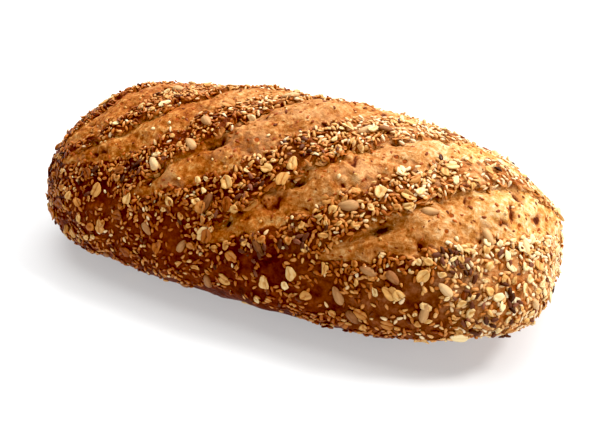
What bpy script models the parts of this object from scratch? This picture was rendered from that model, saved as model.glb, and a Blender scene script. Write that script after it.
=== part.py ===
"""A multigrain country loaf: one solid of baked crust, about 265 mm long.

The loaf is a long dome on a flat base. Five slanting slashes cross its top, each with a lifted
ear on its left side and a low lip on its right. The larger toppings, which are rolled oat flakes
and sunflower kernels, are fused to the crust between the slashes and down the sides.

The frame is +X to the loaf's right end, -Y to its near side and +Z up. The origin is the middle
of the flat base.
"""

import math

import bmesh
import bpy
import numpy as np
from mathutils import Matrix, Vector
from mathutils.bvhtree import BVHTree

# The loaf's outer size, in metres
LENGTH = 0.2630
WIDTH = 0.1280
HEIGHT = 0.0838

# The dome: height of its widest level, how far the underside swells past the base, and the
# exponents of its rounded outlines (2 is an ellipse, and more is squarer)
SHOULDER = 0.0245
UNDER_SWELL = 1.20
PLAN_LEFT, PLAN_RIGHT = 3.1, 3.5
DOME_LEFT, DOME_RIGHT = 2.75, 2.25
TOP_FULLNESS = 1.87
UNDER_FULLNESS = 2.45

# The slashes: near end and far end of the middle line, each as its place along the loaf and its
# distance over the crust from the crest (the near side is positive), then the width of the
# opening, how far the middle line bows towards the near side, its sway into an S, and the skew
# (above 1 the opening is widest past its middle, and below 1 before it)
SLASHES = (
    (-0.1060, 0.0400, -0.0370, -0.0280, 0.0300, -0.0046, 0.0060, 0.90),
    (-0.1004, 0.0504, 0.0170, -0.0280, 0.0202, 0.0085, 0.0075, 0.87),
    (-0.0512, 0.0696, 0.0727, -0.0307, 0.0300, -0.0030, 0.0055, 1.23),
    (-0.0086, 0.0830, 0.1129, -0.0286, 0.0212, 0.0029, 0.0015, 0.97),
    (0.0457, 0.0754, 0.1334, -0.0311, 0.0219, 0.0114, -0.0007, 1.05),
)

# Across a slash: the ear's height, the distance over which its skin settles back, the width of
# its steep edge, the depth under it, the swell of the opened dough, and the lip likewise
EAR_LIFT = 0.0028
EAR_SLOPE = 0.010
EAR_WALL = 0.0030
ROOT_DEPTH = 0.0040
DOUGH_SWELL = 0.0020
LIP_DROP = 0.0009
LIP_RISE = 0.0005
LIP_SLOPE = 0.003
LIP_WALL = 0.0020
FLOOR_CURVE = 4

# How bluntly a slash narrows and grows shallow towards its two ends (0 is not at all), and how
# far its ear stands up and undercuts at the near end and at the far end
NARROWING = 0.6
FADING = 0.8
NEAR_EAR, FAR_EAR = 1.0, 0.35

# How the torn edges of a slash stray from its outline: the height and length of their waves,
# how many of each cross, and how much their lengths differ
RAGGED = ((0.0009, 0.017), (0.0006, 0.0070), (0.0003, 0.0035))
RAGGED_COUNT = 3
RAGGED_SPREAD = (0.7, 1.4)

# Crevices under the ears: place along, distance from the crest, half length, half width and
# depth. They all run about the way that the slashes do.
CREVICES = (
    (-0.109, 0.022, 0.0050, 0.0028, 0.0030),
    (-0.038, 0.0575, 0.0050, 0.0024, 0.0026),
    (-0.016, 0.0390, 0.0080, 0.0028, 0.0034),
    (0.003, 0.072, 0.0036, 0.0028, 0.0030),
    (0.029, 0.048, 0.0060, 0.0024, 0.0030),
    (0.068, 0.0555, 0.0090, 0.0030, 0.0034),
)
CREVICE_TURN = math.radians(-38)

# Slow unevenness of hand-shaped dough: each wave's height and length
WAVES = ((0.0008, 0.055), (0.0005, 0.024))
WAVE_COUNT = 5
SEED = 41
EDGE_SEED = 91

# Rows of the fine crust, and the triangles that its thinned mesh keeps
ROWS_ALONG = 260
ROWS_AROUND = 220
CRUST_TRIANGLES = 4800
CREST_STEPS = 48
OUTLINE_STEPS = 4001
SMALL_TURN = 1e-4
SMALL_WIDTH = 1e-6
SMALL_AREA = 1e-9

# Toppings: how many of each, and their length, width and thickness
FLAKE_COUNT = 130
FLAKE_SIZE = (0.0066, 0.0051, 0.0020)
KERNEL_COUNT = 48
KERNEL_SIZE = (0.0084, 0.0040, 0.0028)
TOPPING_RINGS = 3
TOPPING_SIDES = 6

# Where they lie: the room that one keeps round it, the lowest place, and how often a place on
# the top is taken against one down the sides
TOPPING_ROOM = 0.0094
TOPPING_FLOOR = 0.0065
TOP_REACH = 0.055
TOP_SHARE = 0.45
CANDIDATES = 9000
SIZE_SPREAD = (0.82, 1.15)
LEAN = 0.16

MERGE_DISTANCE = 0.00002
SMOOTH_ANGLE = math.radians(38)


def power(value, exponent):
    """Signed power, which makes a superellipse from a sine or cosine."""
    return np.sign(value) * np.abs(value) ** exponent


def taper(along, left, right):
    """Superellipse taper: 1 at mid length and 0 at the ends, where along is -1 and 1."""
    exponent = np.where(along < 0, left, right)
    return (1 - np.abs(along) ** exponent) ** (1 / exponent)


def smooth_crust(along, angle):
    """Point on the crust before slashing. The angle runs from the far side over the crest."""
    half_width = taper(along, PLAN_LEFT, PLAN_RIGHT) * WIDTH / 2
    rise = taper(along, DOME_LEFT, DOME_RIGHT)
    out, up = np.cos(angle), np.sin(angle)
    above = up >= 0
    y = half_width * np.where(above, power(out, 2 / TOP_FULLNESS), power(out, 2 / UNDER_FULLNESS))
    dome = (HEIGHT - SHOULDER) * np.abs(up) ** (2 / TOP_FULLNESS)
    under = -UNDER_SWELL * SHOULDER * np.abs(up) ** (2 / UNDER_FULLNESS)
    z = SHOULDER + rise * np.where(above, dome, under)
    return np.stack(np.broadcast_arrays(along * LENGTH / 2, y, z), axis=-1)


def distance_from_crest(along, angle):
    """Length over the crust from the crest to each point, positive to the near side."""
    turn = np.mod(angle + math.pi / 2, 2 * math.pi) - math.pi
    share = np.linspace(0, 1, CREST_STEPS)
    walk = smooth_crust(along[:, None], math.pi / 2 + turn[:, None] * share)
    length = np.linalg.norm(np.diff(walk, axis=1), axis=2).sum(axis=1)
    return np.sign(turn) * length


def waves(point):
    """Sum of slow sine waves that cross the loaf in seeded directions."""
    draw = np.random.default_rng(SEED)
    height = np.zeros(len(point))
    for wave_height, wave_length in WAVES:
        for _ in range(WAVE_COUNT):
            heading = draw.normal(size=3)
            heading /= np.linalg.norm(heading)
            phase = draw.uniform(0, 2 * math.pi)
            height += wave_height / 2 * np.sin(2 * math.pi * point @ heading / wave_length + phase)
    return height


def ragged(run, edge_seed):
    """How far a torn edge strays to its side: seeded sines of the way along it."""
    draw = np.random.default_rng(edge_seed)
    stray = np.zeros_like(run)
    for depth, spacing in RAGGED:
        for _ in range(RAGGED_COUNT):
            turns = run / (spacing * draw.uniform(*RAGGED_SPREAD)) + draw.uniform()
            stray += depth * np.sin(2 * math.pi * turns)
    return stray


def soft_step(value):
    """Smooth step from 0 to 1 as the value goes from 0 to 1."""
    value = np.clip(value, 0, 1)
    return value * value * (3 - 2 * value)


def slash_place(number, x, crest_distance):
    """Where a point lies at a slash.

    Gives the distances past its ear's edge and past its lip's edge, which are negative in the
    opening, how far the slash fades there, and how strongly its ear stands.
    """
    start_x, start_over, end_x, end_over, width, bow, sway, skew = SLASHES[number]
    run_x, run_over = end_x - start_x, end_over - start_over
    length = math.hypot(run_x, run_over)
    head_x, head_over = run_x / length, run_over / length
    from_x, from_over = x - start_x, crest_distance - start_over
    share = (from_x * head_x + from_over * head_over) / length
    inside = np.clip(share, 0, 1)
    middle = bow * 4 * inside * (1 - inside) + sway * np.sin(2 * math.pi * inside)
    across = from_over * head_x - from_x * head_over - middle
    half_width = width / 2 * np.sin(math.pi * inside**skew) ** NARROWING
    fade = np.sin(math.pi * inside) ** FADING
    beyond = np.maximum(np.maximum(-share, share - 1), 0) * length
    run = inside * length
    past_ear = -across - half_width - fade * ragged(run, EDGE_SEED + 2 * number) + beyond
    past_lip = across - half_width - fade * ragged(run, EDGE_SEED + 2 * number + 1) + beyond
    stand = fade * (NEAR_EAR + (FAR_EAR - NEAR_EAR) * inside)
    return past_ear, past_lip, fade, stand


def relief(point, crest_distance):
    """Height of the slashed crust over the smooth one, and whether a point is in an opening."""
    x = point[:, 0]
    height = waves(point)
    opened = np.zeros_like(x)
    for number in range(len(SLASHES)):
        past_ear, past_lip, fade, stand = slash_place(number, x, crest_distance)
        wide = np.maximum(-past_ear - past_lip, SMALL_WIDTH)
        to_ear = np.clip(-past_lip / wide, 0, 1)
        floor = fade * (
            DOUGH_SWELL * np.sin(math.pi * to_ear) - LIP_DROP * (1 - to_ear) ** FLOOR_CURVE
        )
        floor -= stand * ROOT_DEPTH * to_ear**FLOOR_CURVE
        ear = stand * EAR_LIFT * np.exp(-np.maximum(past_ear, 0) / EAR_SLOPE)
        lip = fade * LIP_RISE * np.exp(-np.maximum(past_lip, 0) / LIP_SLOPE)
        on_ear = soft_step(1 + past_ear / EAR_WALL)
        on_lip = soft_step(1 + past_lip / LIP_WALL)
        height += floor * (1 - on_ear) * (1 - on_lip) + ear * on_ear + lip * on_lip
        opened = np.maximum(opened, (past_ear < 0) & (past_lip < 0))
    for middle_x, middle_over, half_length, half_width, depth in CREVICES:
        from_x, from_over = x - middle_x, crest_distance - middle_over
        down = from_x * math.cos(CREVICE_TURN) + from_over * math.sin(CREVICE_TURN)
        aside = from_over * math.cos(CREVICE_TURN) - from_x * math.sin(CREVICE_TURN)
        height -= depth * np.exp(-((down / half_length) ** 2) - (aside / half_width) ** 2)
    return height, opened


def station(share):
    """Place along the loaf, from -1 to 1, at an equal share of the way round its outline."""
    fine = np.sin(np.linspace(-math.pi / 2, math.pi / 2, OUTLINE_STEPS))
    edge = np.stack([fine * LENGTH / 2, taper(fine, PLAN_LEFT, PLAN_RIGHT) * WIDTH / 2])
    walked = np.concatenate([[0], np.cumsum(np.linalg.norm(np.diff(edge, axis=1), axis=0))])
    return np.interp(share, walked / walked[-1], fine)


def crust_surface(share, angle):
    """Point, outward normal, area stretch and openness of the slashed crust."""
    along = station(share)
    point = smooth_crust(along, angle)
    step = np.where(share < 0.5, SMALL_TURN, -SMALL_TURN)
    by_share = (smooth_crust(station(share + step), angle) - point) / step[:, None]
    by_angle = (smooth_crust(along, angle + SMALL_TURN) - point) / SMALL_TURN
    normal = np.cross(by_angle, by_share)
    stretch = np.linalg.norm(normal, axis=1)
    at_pole = stretch < SMALL_AREA
    tip = np.stack([np.sign(along), np.zeros_like(along), np.zeros_like(along)], axis=1)
    normal = np.where(at_pole[:, None], tip, normal / np.maximum(stretch, SMALL_AREA)[:, None])
    height, opened = relief(point, distance_from_crest(along, angle))
    height = np.where(at_pole, 0, height)
    return point + normal * height[:, None], normal, stretch, opened


def new_collection(name):
    """Collection linked to the scene."""
    collection = bpy.data.collections.new(name)
    bpy.context.scene.collection.children.link(collection)
    return collection


def object_from(bm, name, collection):
    """Object made of a bmesh, which is freed."""
    mesh = bpy.data.meshes.new(name)
    bm.to_mesh(mesh)
    bm.free()
    thing = bpy.data.objects.new(name, mesh)
    collection.objects.link(thing)
    return thing


def apply_modifiers(thing):
    """The object's mesh becomes what its modifiers make of it."""
    bpy.context.view_layer.update()
    shown = thing.evaluated_get(bpy.context.evaluated_depsgraph_get())
    mesh = bpy.data.meshes.new_from_object(shown)
    thing.modifiers.clear()
    old = thing.data
    thing.data = mesh
    bpy.data.meshes.remove(old)


def make_crust(collection):
    """The slashed loaf: a fine sphere moved onto the crust, thinned, then cut flat below."""
    bm = bmesh.new()
    bmesh.ops.create_uvsphere(bm, u_segments=ROWS_AROUND, v_segments=ROWS_ALONG, radius=1)
    ball = np.array([vert.co[:] for vert in bm.verts])
    share = 0.5 + np.arcsin(np.clip(ball[:, 2], -1, 1)) / math.pi
    points, _, _, _ = crust_surface(share, np.arctan2(ball[:, 1], ball[:, 0]))
    for vert, point in zip(bm.verts, points):
        vert.co = point
    bmesh.ops.recalc_face_normals(bm, faces=bm.faces)
    bmesh.ops.triangulate(bm, faces=bm.faces)
    fine_triangles = len(bm.faces)
    crust = object_from(bm, "loaf", collection)
    thin = crust.modifiers.new("Thin", "DECIMATE")
    thin.ratio = CRUST_TRIANGLES / fine_triangles
    apply_modifiers(crust)
    cut_flat(crust)
    return crust


def cut_flat(crust):
    """Slice the underside off at the base plane and close it with one flat face."""
    bm = bmesh.new()
    bm.from_mesh(crust.data)
    every = bm.verts[:] + bm.edges[:] + bm.faces[:]
    bmesh.ops.bisect_plane(
        bm, geom=every, dist=MERGE_DISTANCE, plane_co=(0, 0, 0), plane_no=(0, 0, 1), clear_inner=True
    )
    rim = [edge for edge in bm.edges if edge.is_boundary]
    for edge in rim:
        for vert in edge.verts:
            vert.co.z = 0
    bmesh.ops.contextual_create(bm, geom=rim)
    bmesh.ops.recalc_face_normals(bm, faces=bm.faces)
    bm.to_mesh(crust.data)
    bm.free()


def topping_places(wanted, kind_seed, taken):
    """Seeded places on the whole crust, evenly spread and clear of the places already taken."""
    draw = np.random.default_rng(kind_seed)
    share = draw.uniform(0, 1, CANDIDATES)
    angle = draw.uniform(-math.pi, math.pi, CANDIDATES)
    keep = draw.uniform(0, 1, CANDIDATES)
    point, normal, stretch, opened = crust_surface(share, angle)
    over = np.abs(distance_from_crest(station(share), angle))
    wish = stretch / stretch.max() * np.where(over < TOP_REACH, TOP_SHARE, 1)
    good = (keep < wish) & (opened == 0) & (point[:, 2] > TOPPING_FLOOR)
    chosen = []
    for place, outward in zip(point[good], normal[good]):
        if len(chosen) == wanted:
            break
        if all(np.linalg.norm(place - other) > TOPPING_ROOM for other in taken):
            taken.append(place)
            chosen.append((Vector(place), Vector(outward)))
    return chosen


def add_toppings(name, size, places, crust_tree, draw, collection):
    """Low rounded pieces of one kind, lying on the crust at seeded turns and sizes."""
    for number, (place, outward) in enumerate(places):
        spot, facing, _, _ = crust_tree.find_nearest(place)
        grow = draw.uniform(*SIZE_SPREAD)
        lean = Vector(draw.uniform(-LEAN, LEAN, 3))
        spin = Matrix.Rotation(draw.uniform(0, 2 * math.pi), 4, "Z")
        tilt = (outward + facing + lean).to_track_quat("Z", "Y").to_matrix().to_4x4()
        scale = Matrix.Diagonal((size[0] / 2 * grow, size[1] / 2 * grow, size[2] / 2, 1))
        bm = bmesh.new()
        bmesh.ops.create_uvsphere(
            bm, u_segments=TOPPING_SIDES, v_segments=TOPPING_RINGS, radius=1
        )
        widest = max(vert.co.xy.length for vert in bm.verts)
        bmesh.ops.scale(bm, vec=(1 / widest, 1 / widest, 1), verts=bm.verts)
        bmesh.ops.transform(bm, matrix=Matrix.Translation(spot) @ tilt @ spin @ scale, verts=bm.verts)
        object_from(bm, f"{name}_{number:03d}", collection)


def fuse(crust, collection):
    """Join the toppings to the crust in one union and remove their own objects."""
    join = crust.modifiers.new("Join", "BOOLEAN")
    join.operation = "UNION"
    join.operand_type = "COLLECTION"
    join.collection = collection
    join.solver = "EXACT"
    apply_modifiers(crust)
    for piece in list(collection.objects):
        mesh = piece.data
        bpy.data.objects.remove(piece)
        bpy.data.meshes.remove(mesh)
    bpy.data.collections.remove(collection)


def keep_whole(crust):
    """Weld stray seams, and keep only the one outer skin: hollows fill and loose scraps go."""
    bm = bmesh.new()
    bm.from_mesh(crust.data)
    bmesh.ops.remove_doubles(bm, verts=bm.verts, dist=MERGE_DISTANCE)
    bmesh.ops.dissolve_degenerate(bm, edges=bm.edges, dist=MERGE_DISTANCE)
    bmesh.ops.triangulate(bm, faces=[face for face in bm.faces if len(face.verts) > 3])
    unseen = set(bm.faces)
    skins = []
    while unseen:
        front = [unseen.pop()]
        skin = list(front)
        while front:
            face = front.pop()
            near = {other for edge in face.edges for other in edge.link_faces} & unseen
            unseen -= near
            front.extend(near)
            skin.extend(near)
        skins.append(skin)
    skins.sort(key=len)
    for skin in skins[:-1]:
        bmesh.ops.delete(bm, geom=skin, context="FACES")
    bm.to_mesh(crust.data)
    bm.free()


def crust_material():
    """Dark baked crust: reddish brown, dull, with no metal in it."""
    material = bpy.data.materials.new("Baked crust")
    material.use_nodes = True
    shader = material.node_tree.nodes["Principled BSDF"]
    shader.inputs["Base Color"].default_value = (0.35, 0.15, 0.05, 1)
    shader.inputs["Roughness"].default_value = 0.6
    shader.inputs["Metallic"].default_value = 0
    return material


def build():
    """The whole loaf as one object in its own collection."""
    for thing in list(bpy.data.objects):
        bpy.data.objects.remove(thing)
    loaf_collection = new_collection("multigrain_loaf")
    topping_collection = new_collection("toppings")
    crust = make_crust(loaf_collection)
    tree = BVHTree.FromObject(crust, bpy.context.evaluated_depsgraph_get())
    taken = []
    kernels = topping_places(KERNEL_COUNT, SEED + 1, taken)
    flakes = topping_places(FLAKE_COUNT, SEED + 2, taken)
    draw = np.random.default_rng(SEED + 3)
    add_toppings("kernel", KERNEL_SIZE, kernels, tree, draw, topping_collection)
    add_toppings("flake", FLAKE_SIZE, flakes, tree, draw, topping_collection)
    fuse(crust, topping_collection)
    keep_whole(crust)
    crust.data.materials.clear()
    crust.data.materials.append(crust_material())
    crust.data.shade_smooth()
    crust.data.set_sharp_from_angle(angle=SMOOTH_ANGLE)


build()
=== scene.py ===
"""Looks of a multigrain country loaf: slashed crust with oat flakes, kernels, seeds and grains.

The frame is +X to the loaf's right end, -Y to its near side and +Z up, in metres. The origin is
the middle of the flat base.
"""

import functools
import itertools
import math

import bpy
import numpy as np
from mathutils import Matrix, Vector
from mathutils.kdtree import KDTree


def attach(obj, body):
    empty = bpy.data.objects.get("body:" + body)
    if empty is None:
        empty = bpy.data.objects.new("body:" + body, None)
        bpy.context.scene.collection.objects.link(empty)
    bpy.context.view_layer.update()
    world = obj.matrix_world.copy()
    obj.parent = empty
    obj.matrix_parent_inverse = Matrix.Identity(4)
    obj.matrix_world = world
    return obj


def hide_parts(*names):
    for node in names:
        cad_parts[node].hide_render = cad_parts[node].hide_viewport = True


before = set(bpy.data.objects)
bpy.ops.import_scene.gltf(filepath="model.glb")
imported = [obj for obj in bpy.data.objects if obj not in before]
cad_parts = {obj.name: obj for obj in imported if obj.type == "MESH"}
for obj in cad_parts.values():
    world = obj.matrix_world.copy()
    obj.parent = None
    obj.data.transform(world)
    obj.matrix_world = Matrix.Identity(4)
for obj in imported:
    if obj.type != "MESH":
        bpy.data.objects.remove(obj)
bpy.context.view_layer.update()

# The crust is one skin of baked dough over the whole loaf. The baker cut it with five slanting
# slashes, and each opened in the oven: its left edge lifted into an ear, the pale dough under it
# swelled out, and its right edge stayed low.
LENGTH, WIDTH, HEIGHT = 0.2630, 0.1280, 0.0838
SHOULDER, UNDER_SWELL = 0.0245, 1.20
PLAN_LEFT, PLAN_RIGHT = 3.1, 3.5
DOME_LEFT, DOME_RIGHT = 2.75, 2.25
TOP_FULLNESS, UNDER_FULLNESS = 1.87, 2.45

# Slashes: near end and far end of the middle line, each as its place along the loaf and its
# distance over the crust from the crest, then the width, the bow and the sway of that line, and
# the skew of the width: above 1 it is widest past the middle
SLASHES = (
    (-0.1060, 0.0400, -0.0370, -0.0280, 0.0300, -0.0046, 0.0060, 0.90),
    (-0.1004, 0.0504, 0.0170, -0.0280, 0.0202, 0.0085, 0.0075, 0.87),
    (-0.0512, 0.0696, 0.0727, -0.0307, 0.0300, -0.0030, 0.0055, 1.23),
    (-0.0086, 0.0830, 0.1129, -0.0286, 0.0212, 0.0029, 0.0015, 0.97),
    (0.0457, 0.0754, 0.1334, -0.0311, 0.0219, 0.0114, -0.0007, 1.05),
)
EAR_LIFT, EAR_SLOPE, EAR_WALL = 0.0028, 0.010, 0.0030
ROOT_DEPTH, DOUGH_SWELL = 0.0040, 0.0020
LIP_DROP, LIP_RISE, LIP_SLOPE, LIP_WALL = 0.0009, 0.0005, 0.003, 0.0020
FLOOR_CURVE, NARROWING, FADING = 4, 0.6, 0.8
NEAR_EAR, FAR_EAR = 1.0, 0.35
RAGGED = ((0.0009, 0.017), (0.0006, 0.0070), (0.0003, 0.0035))
RAGGED_COUNT, RAGGED_SPREAD = 3, (0.7, 1.4)
# Crevices under the ears: place along, distance from the crest, half length, half width, depth
CREVICES = (
    (-0.109, 0.022, 0.0050, 0.0028, 0.0030),
    (-0.038, 0.0575, 0.0050, 0.0024, 0.0026),
    (-0.016, 0.0390, 0.0080, 0.0028, 0.0034),
    (0.003, 0.072, 0.0036, 0.0028, 0.0030),
    (0.029, 0.048, 0.0060, 0.0024, 0.0030),
    (0.068, 0.0555, 0.0090, 0.0030, 0.0034),
)
CREVICE_TURN = math.radians(-38)
WAVES = ((0.0008, 0.055), (0.0005, 0.024))
WAVE_COUNT, SEED, EDGE_SEED = 5, 41, 91
CREST_STEPS, OUTLINE_STEPS, SMALL_TURN = 48, 4001, 1e-4
ROWS_ALONG, ROWS_AROUND = 342, 288
UNDER_SHARE = 0.15


def power(value, exponent):
    """Signed power, which makes a superellipse from a sine or cosine."""
    return np.sign(value) * np.abs(value) ** exponent


def taper(along, left, right):
    """Superellipse taper: 1 at mid length and 0 at the ends, where along is -1 and 1."""
    exponent = np.where(along < 0, left, right)
    return (1 - np.abs(along) ** exponent) ** (1 / exponent)


def smooth_crust(along, angle):
    """Superellipse section at each station, on a flat-bottomed dome that tapers to both ends."""
    half_width = taper(along, PLAN_LEFT, PLAN_RIGHT) * WIDTH / 2
    rise = taper(along, DOME_LEFT, DOME_RIGHT)
    out, up = np.cos(angle), np.sin(angle)
    above = up >= 0
    y = half_width * np.where(above, power(out, 2 / TOP_FULLNESS), power(out, 2 / UNDER_FULLNESS))
    dome = (HEIGHT - SHOULDER) * np.abs(up) ** (2 / TOP_FULLNESS)
    under = -UNDER_SWELL * SHOULDER * np.abs(up) ** (2 / UNDER_FULLNESS)
    z = SHOULDER + rise * np.where(above, dome, under)
    return np.stack(np.broadcast_arrays(along * LENGTH / 2, y, z), axis=-1)


def distance_from_crest(along, angle):
    """Length over the crust from the crest to each point, positive to the near side."""
    turn = np.mod(angle + math.pi / 2, 2 * math.pi) - math.pi
    share = np.linspace(0, 1, CREST_STEPS)
    walk = smooth_crust(along[:, None], math.pi / 2 + turn[:, None] * share)
    length = np.linalg.norm(np.diff(walk, axis=1), axis=2).sum(axis=1)
    return np.sign(turn) * length


def waves(point):
    """Sum of slow sine waves that cross the loaf in seeded directions."""
    draw = np.random.default_rng(SEED)
    height = np.zeros(len(point))
    for wave_height, wave_length in WAVES:
        for _ in range(WAVE_COUNT):
            heading = draw.normal(size=3)
            heading /= np.linalg.norm(heading)
            phase = draw.uniform(0, 2 * math.pi)
            height += wave_height / 2 * np.sin(2 * math.pi * point @ heading / wave_length + phase)
    return height


def ragged(run, edge_seed):
    """How far a torn edge strays to its side: seeded sines of the way along it."""
    draw = np.random.default_rng(edge_seed)
    stray = np.zeros_like(run)
    for depth, spacing in RAGGED:
        for _ in range(RAGGED_COUNT):
            turns = run / (spacing * draw.uniform(*RAGGED_SPREAD)) + draw.uniform()
            stray += depth * np.sin(2 * math.pi * turns)
    return stray


def soft_step(value):
    """Smooth step from 0 to 1 as the value goes from 0 to 1."""
    value = np.clip(value, 0, 1)
    return value * value * (3 - 2 * value)


def slash_place(number, x, crest_distance):
    """Where a point lies at a slash.

    Gives the way along it, the distances past its ear's edge and past its lip's edge, which are
    negative in the opening, how far the slash fades there, and how strongly its ear stands.
    """
    start_x, start_over, end_x, end_over, width, bow, sway, skew = SLASHES[number]
    run_x, run_over = end_x - start_x, end_over - start_over
    length = math.hypot(run_x, run_over)
    head_x, head_over = run_x / length, run_over / length
    from_x, from_over = x - start_x, crest_distance - start_over
    share = (from_x * head_x + from_over * head_over) / length
    inside = np.clip(share, 0, 1)
    middle = bow * 4 * inside * (1 - inside) + sway * np.sin(2 * math.pi * inside)
    across = from_over * head_x - from_x * head_over - middle
    half_width = width / 2 * np.sin(math.pi * inside**skew) ** NARROWING
    fade = np.sin(math.pi * inside) ** FADING
    beyond = np.maximum(np.maximum(-share, share - 1), 0) * length
    run = inside * length
    past_ear = -across - half_width - fade * ragged(run, EDGE_SEED + 2 * number) + beyond
    past_lip = across - half_width - fade * ragged(run, EDGE_SEED + 2 * number + 1) + beyond
    stand = fade * (NEAR_EAR + (FAR_EAR - NEAR_EAR) * inside)
    return run, past_ear, past_lip, fade, stand


def crevices(x, crest_distance):
    """Depth of the crevices at each point, and how far inside one it lies, up to 1."""
    sunk, within = np.zeros_like(x), np.zeros_like(x)
    for middle_x, middle_over, half_length, half_width, depth in CREVICES:
        from_x, from_over = x - middle_x, crest_distance - middle_over
        down = from_x * math.cos(CREVICE_TURN) + from_over * math.sin(CREVICE_TURN)
        aside = from_over * math.cos(CREVICE_TURN) - from_x * math.sin(CREVICE_TURN)
        here = np.exp(-((down / half_length) ** 2) - (aside / half_width) ** 2)
        sunk += depth * here
        within = np.maximum(within, here)
    return sunk, within


def relief(point, crest_distance):
    """Height of the slashed crust over its smooth form, and which points are opened dough.

    Over each slash, the ear rises and falls off by an exponential, the floor bulges by a sine and
    drops steeply to the ear's root, and the lip is a low exponential rim.
    """
    x = point[:, 0]
    height = waves(point)
    opened = np.zeros_like(x)
    for number in range(len(SLASHES)):
        _, past_ear, past_lip, fade, stand = slash_place(number, x, crest_distance)
        wide = np.maximum(-past_ear - past_lip, 1e-6)
        to_ear = np.clip(-past_lip / wide, 0, 1)
        floor = fade * (
            DOUGH_SWELL * np.sin(math.pi * to_ear) - LIP_DROP * (1 - to_ear) ** FLOOR_CURVE
        )
        floor -= stand * ROOT_DEPTH * to_ear**FLOOR_CURVE
        ear = stand * EAR_LIFT * np.exp(-np.maximum(past_ear, 0) / EAR_SLOPE)
        lip = fade * LIP_RISE * np.exp(-np.maximum(past_lip, 0) / LIP_SLOPE)
        on_ear = soft_step(1 + past_ear / EAR_WALL)
        on_lip = soft_step(1 + past_lip / LIP_WALL)
        height += floor * (1 - on_ear) * (1 - on_lip) + ear * on_ear + lip * on_lip
        opened = np.maximum(opened, (past_ear < 0) & (past_lip < 0))
    sunk, _ = crevices(x, crest_distance)
    return height - sunk, opened


def station(share):
    """Place along the loaf, from -1 to 1, at an equal share of the way round its outline."""
    fine = np.sin(np.linspace(-math.pi / 2, math.pi / 2, OUTLINE_STEPS))
    edge = np.stack([fine * LENGTH / 2, taper(fine, PLAN_LEFT, PLAN_RIGHT) * WIDTH / 2])
    walked = np.concatenate([[0], np.cumsum(np.linalg.norm(np.diff(edge, axis=1), axis=0))])
    return np.interp(share, walked / walked[-1], fine)


def unit(vectors):
    """The same vectors at length 1."""
    return vectors / np.maximum(np.linalg.norm(vectors, axis=-1, keepdims=True), 1e-12)


def crust_surface(share, angle):
    """Smooth point, its slopes along and round the loaf, and its distance from the crest."""
    along = station(share)
    point = smooth_crust(along, angle)
    step = np.where(share < 0.5, SMALL_TURN, -SMALL_TURN)
    by_share = (smooth_crust(station(share + step), angle) - point) / step[:, None]
    by_angle = (smooth_crust(along, angle + SMALL_TURN) - point) / SMALL_TURN
    return point, by_share, by_angle, distance_from_crest(along, angle)


# Finer relief than the solid has: the overhang of each ear, blisters and fibres of the opened
# dough, pocks where a gas bubble or grain broke through, and lumps of the skin.
OVERHANG, OVERHANG_REACH = 0.0023, 0.0035
UNEVEN_EAR, UNEVEN_SPACING = 0.8, 0.009
BLISTERS = ((0.00070, 0.0140), (0.00045, 0.0058), (0.00024, 0.0026))
FIBRES, FIBRE_STRETCH = (0.00030, 0.0120), 5
SKIN_LUMPS = ((0.00045, 0.0065), (0.00024, 0.0024))
POCK_COUNT, POCK_RADIUS, POCK_DEPTH = 95, (0.0005, 0.0029), 0.8
# Places where flour stuck: along the loaf, distance from the crest, radius
DUSTED = (
    (-0.008, 0.026, 0.013),
    (0.004, 0.036, 0.010),
    (-0.028, 0.060, 0.009),
    (0.054, 0.036, 0.012),
    (0.022, 0.008, 0.016),
)
EDGE_LIMIT, SLASHES_APART = 0.012, 0.05
ROOT_CURVE, RIM_REACH = 8, 0.0015
POCK_INSET, POCK_CHOICE = 0.0015, 0.2
POCK_LONG, POCK_WIDE = (0.35, 1.2), (0.8, 1.7)
# The painted shade of the pocks ends at this place along the loaf, over this length
POCK_END, POCK_FADE = 0.128, 0.008


def lumps(point, size, seed):
    """Smooth random field from -1 to 1: seeded values on a cubic lattice, eased between corners."""
    side = 32
    table = np.random.default_rng(seed).uniform(-1, 1, (side, side, side))
    cell = np.floor(point / size).astype(int)
    ease = soft_step(point / size - cell)
    value = np.zeros(len(point))
    for corner in itertools.product((0, 1), repeat=3):
        weight = np.prod(np.where(corner, ease, 1 - ease), axis=1)
        spot = (cell + corner) % side
        value += weight * table[spot[:, 0], spot[:, 1], spot[:, 2]]
    return value


def billows(point, size, seed):
    """Puffy lobes with creases between them: the size of a smooth random field, centred on 0."""
    return 2 * np.abs(lumps(point, size, seed)) - 0.55


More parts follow.
